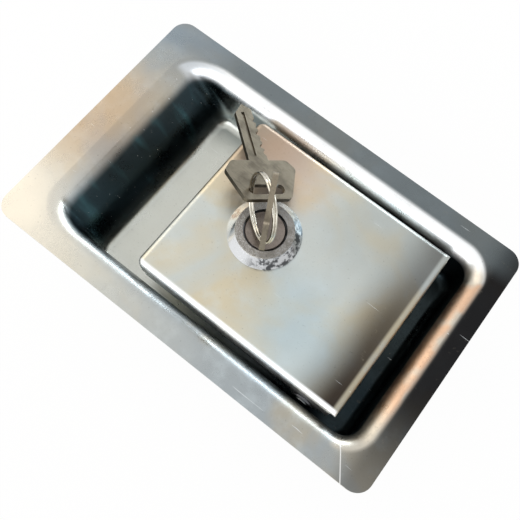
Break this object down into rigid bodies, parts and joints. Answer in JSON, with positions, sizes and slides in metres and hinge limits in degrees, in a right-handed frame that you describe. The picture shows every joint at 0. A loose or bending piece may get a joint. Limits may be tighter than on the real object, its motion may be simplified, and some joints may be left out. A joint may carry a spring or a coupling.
{
  "type": "paddle latch",
  "caption": "Flush tray paddle latch: a lift-up paddle with a keyed cam lock draws a spring slam bolt back under a rolled rectangular pan.",
  "frame": {"origin": "centre of the flange in plan, on the flange's underside, the face that rests on the door panel", "axes": "+X along the pan towards its hinge and bolt end, +Y across it, +Z out of the door"},
  "size_m": [0.169, 0.107, 0.0736],
  "materials": {
    "zinc_pan": "blue-white zinc plated, mottled satin",
    "zinc_paddle": "zinc plated, cream to pale blue, satin",
    "zinc_inner": "plain zinc plated",
    "chrome_lock": "bright chrome, face ring stippled",
    "plug_nickel": "satin nickel",
    "key_nickel": "brushed nickel",
    "ring_nickel": "bright nickel wire",
    "spring_steel": "oiled spring steel"
  },
  "bodies": {
    "tray": {"pan": "zinc_pan", "hinge_brackets": "zinc_inner", "hinge_pin": "zinc_inner", "pin_clip": "spring_steel", "latch_housing": "zinc_inner", "spring_guide": "zinc_inner", "rivets": "zinc_inner", "mounting_studs": "zinc_inner", "bolt_spring": "spring_steel"},
    "paddle": {"paddle": "zinc_paddle", "lever": "zinc_inner", "lock_housing": "chrome_lock", "lock_washer": "zinc_inner", "lock_nut": "zinc_inner"},
    "plug": {"lock_plug": "plug_nickel", "lock_cam": "zinc_inner", "cam_screw": "zinc_inner", "key": "key_nickel"},
    "ring": {"split_ring": "ring_nickel"},
    "spare": {"spare_key": "key_nickel"},
    "bolt": {"latch_bolt": "zinc_inner"}
  },
  "joints": [
    {"name": "paddle_lift", "type": "hinge", "parent": "tray", "child": "paddle", "pos_m": [0.048, 0, -0.0085], "axis": [0, 1, 0], "range_deg": [0, 35]},
    {"name": "bolt_slide", "type": "slide", "parent": "tray", "child": "bolt", "axis": [-1, 0, 0], "range_m": [0, 0.0128], "stiffness_N_per_m": 300, "springref_m": -0.01, "deforming": ["bolt_spring"]},
    {"name": "key_turn", "type": "hinge", "parent": "paddle", "child": "plug", "pos_m": [0.0008, 0, 0.0065], "axis": [0, 0, 1], "range_deg": [0, 90]},
    {"name": "ring_turn", "type": "hinge", "parent": "plug", "child": "ring", "pos_m": [-0.00221, 0.00071, 0.02143], "axis": [-0.6197, -0.7587, 0.2009], "range_deg": [-6, 0]},
    {"name": "spare_swing", "type": "hinge", "parent": "ring", "child": "spare", "pos_m": [-0.0107, 0.0052, 0.0158], "axis": [-0.6337, -0.707, 0.3141], "range_deg": [-3, 0]}
  ],
  "couplings": [
    {"joint": "bolt_slide", "follows": "paddle_lift", "m_per_rad": 0.02066}
  ]
}
